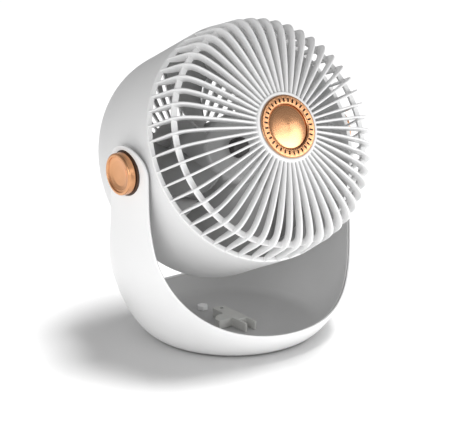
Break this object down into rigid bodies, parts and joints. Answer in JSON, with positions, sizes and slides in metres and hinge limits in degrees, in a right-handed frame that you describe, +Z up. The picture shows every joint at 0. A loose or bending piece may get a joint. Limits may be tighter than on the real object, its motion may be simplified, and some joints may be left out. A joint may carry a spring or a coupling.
{
  "type": "desk fan",
  "caption": "Desk fan: a drum head with a ribbed dome grille tilts between the arms of a cup-shaped yoke; copper pivot caps and badge.",
  "frame": {"origin": "centre of the base on the yoke's vertical axis, at table height, 1.2 mm below the base cover's flat underside", "axes": "+Z up; the fan blows towards -Y and upwards; +X to the right as seen from the front"},
  "size_m": [0.2184, 0.1885, 0.2561],
  "materials": {
    "white_plastic": "satin white moulded plastic",
    "shell_plastic": "fine satin light grey-white plastic",
    "grey_plastic": "satin mid-grey plastic",
    "blade_plastic": "satin grey plastic",
    "dark_plastic": "dark plastic",
    "rubber": "matt dark rubber",
    "copper": "polished aluminium anodised in a copper tone",
    "steel": "bright steel",
    "winding": "enamelled copper wire",
    "magnet": "dark bonded magnet",
    "board": "green circuit board",
    "lens": "clear lamp lens",
    "nylon": "natural nylon"
  },
  "bodies": {
    "base": {"yoke_shell": "white_plastic", "yoke_liner": "grey_plastic", "base_cover": "white_plastic", "foot_1": "rubber", "foot_2": "rubber", "foot_3": "rubber", "foot_4": "rubber", "wall_hook": "grey_plastic", "hook_stop": "white_plastic", "cap_seat_left": "dark_plastic", "cap_seat_right": "dark_plastic", "pivot_cap_left": "copper", "pivot_cap_right": "copper", "pivot_bolt_left": "steel", "pivot_bolt_right": "steel", "friction_washer_left": "nylon", "friction_washer_right": "nylon"},
    "head": {"rear_shell": "shell_plastic", "pivot_bush_left": "nylon", "pivot_bush_right": "nylon", "front_grille": "white_plastic", "badge_ring": "copper", "badge_disc": "copper", "rear_grille": "shell_plastic", "stator_core": "steel", "winding_front": "winding", "winding_rear": "winding", "bearing_front": "steel", "bearing_rear": "steel", "control_housing": "white_plastic", "housing_screw_1": "steel", "housing_screw_2": "steel", "housing_screw_3": "steel", "circuit_board": "board", "tact_switch": "dark_plastic", "status_lens": "lens", "charging_socket": "steel"},
    "rotor": {"impeller": "blade_plastic", "rotor_can": "steel", "rotor_magnet": "magnet", "motor_shaft": "steel", "impeller_nut": "dark_plastic"},
    "button": {"power_button": "copper"}
  },
  "joints": [
    {"name": "head_tilt", "type": "hinge", "parent": "base", "child": "head", "pos_m": [0, 0, 0.1484], "axis": [-1, 0, 0], "range_deg": [-46.7, 63.3]},
    {"name": "fan_spin", "type": "hinge", "parent": "head", "child": "rotor", "pos_m": [0, 0, 0.1484], "axis": [0, -0.8934, 0.4493], "continuous": true},
    {"name": "button_press", "type": "slide", "parent": "head", "child": "button", "axis": [0, -0.8934, 0.4493], "range_m": [0, 0.0012], "stiffness_N_per_m": 400}
  ]
}
